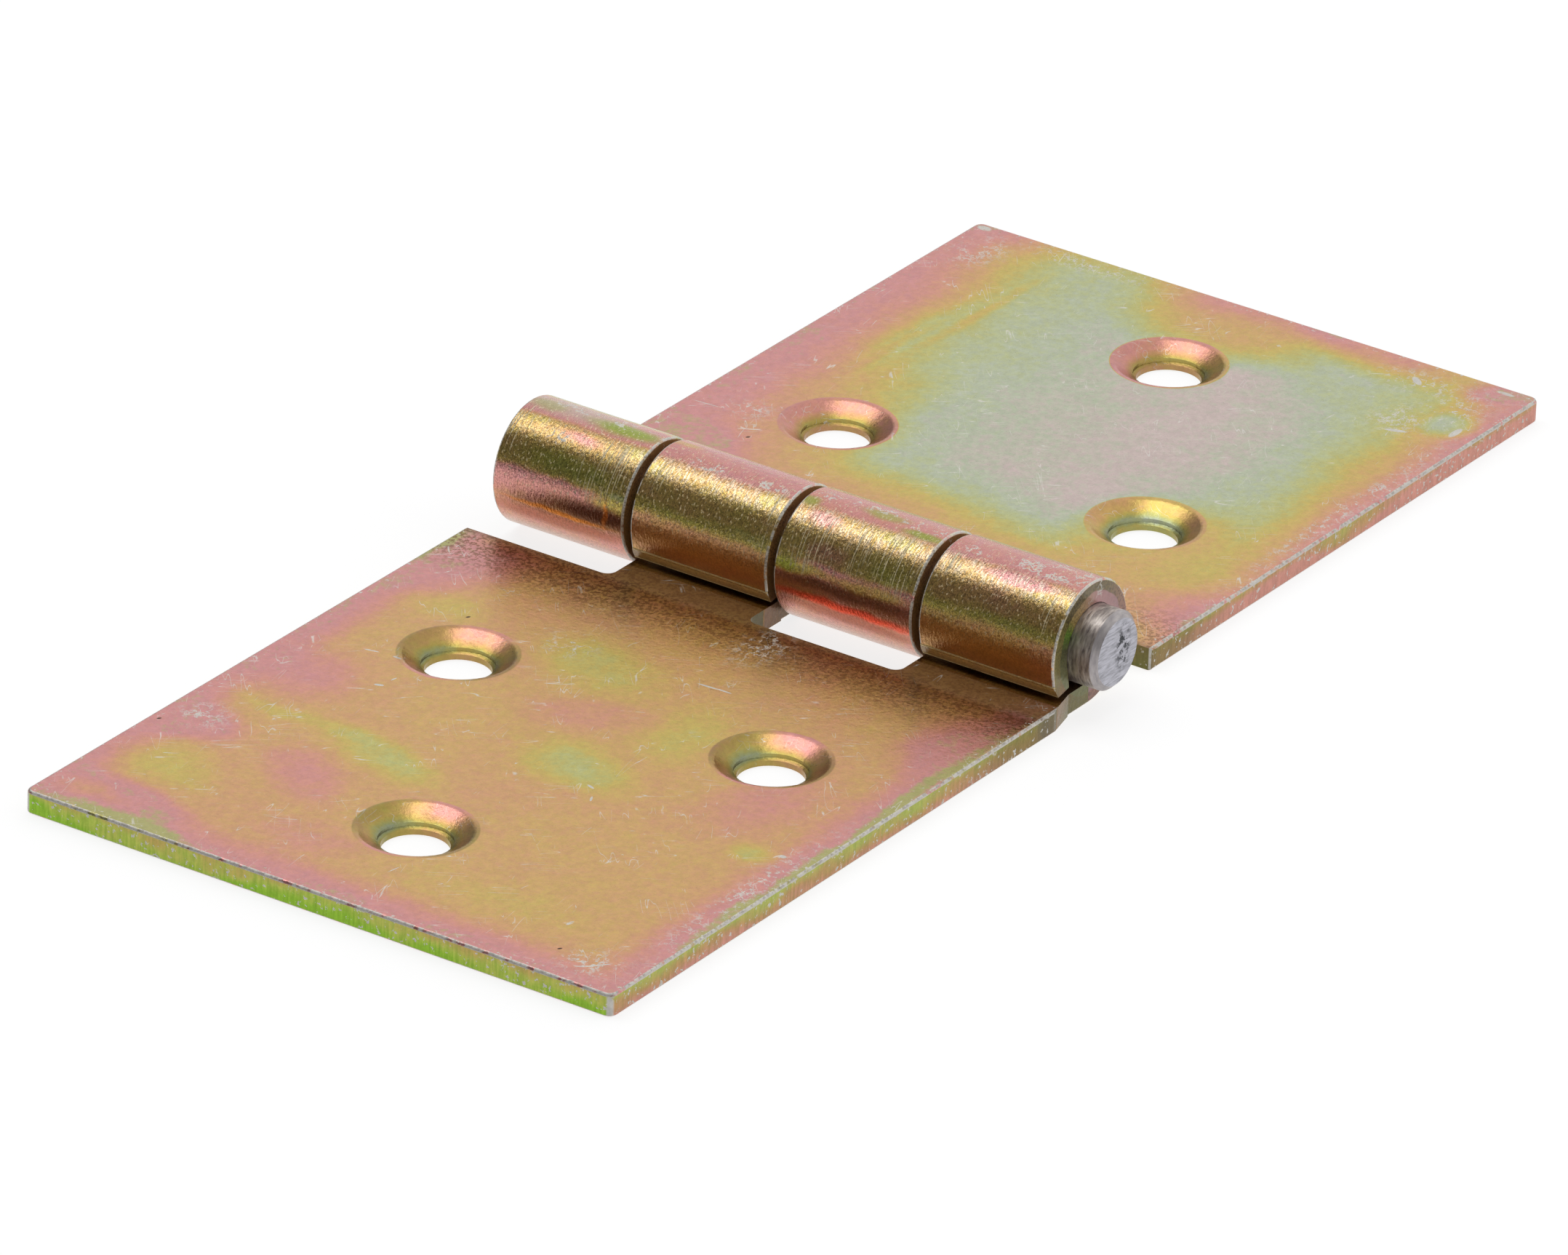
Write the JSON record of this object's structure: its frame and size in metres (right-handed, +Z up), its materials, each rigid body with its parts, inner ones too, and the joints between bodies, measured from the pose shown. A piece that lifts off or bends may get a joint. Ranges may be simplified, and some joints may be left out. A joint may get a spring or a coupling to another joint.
{
  "type": "loose-pin flap hinge",
  "caption": "Flat plated steel flap hinge: two like leaves with rolled, interleaved knuckles turn on a plain pin that draws out to part them.",
  "frame": {"origin": "on the plane of the leaves' undersides, below the pin's axis, midway between the leaves' left edges and the end of the pin that stands out", "axes": "+X along the pin towards the end that stands out, +Y towards the outer edge of the rear leaf, +Z up from the undersides to the barrel's crown"},
  "size_m": [0.0516, 0.12, 0.0096],
  "materials": {
    "plated_sheet": "steel sheet, zinc plated with a yellow iridescent passivation",
    "bare_steel": "turned and sawn steel rod without plating"
  },
  "bodies": {
    "front_leaf": {"front_leaf": "plated_sheet"},
    "rear_leaf": {"rear_leaf": "plated_sheet"},
    "hinge_pin": {"hinge_pin": "bare_steel"}
  },
  "joints": [
    {"name": "leaf_swing", "type": "hinge", "parent": "front_leaf", "child": "rear_leaf", "pos_m": [0, 0, 0.0048], "axis": [1, 0, 0], "range_deg": [-105, 185]},
    {"name": "pin_slide", "type": "slide", "parent": "front_leaf", "child": "hinge_pin", "axis": [1, 0, 0], "range_m": [-0.052, 0.049]}
  ]
}
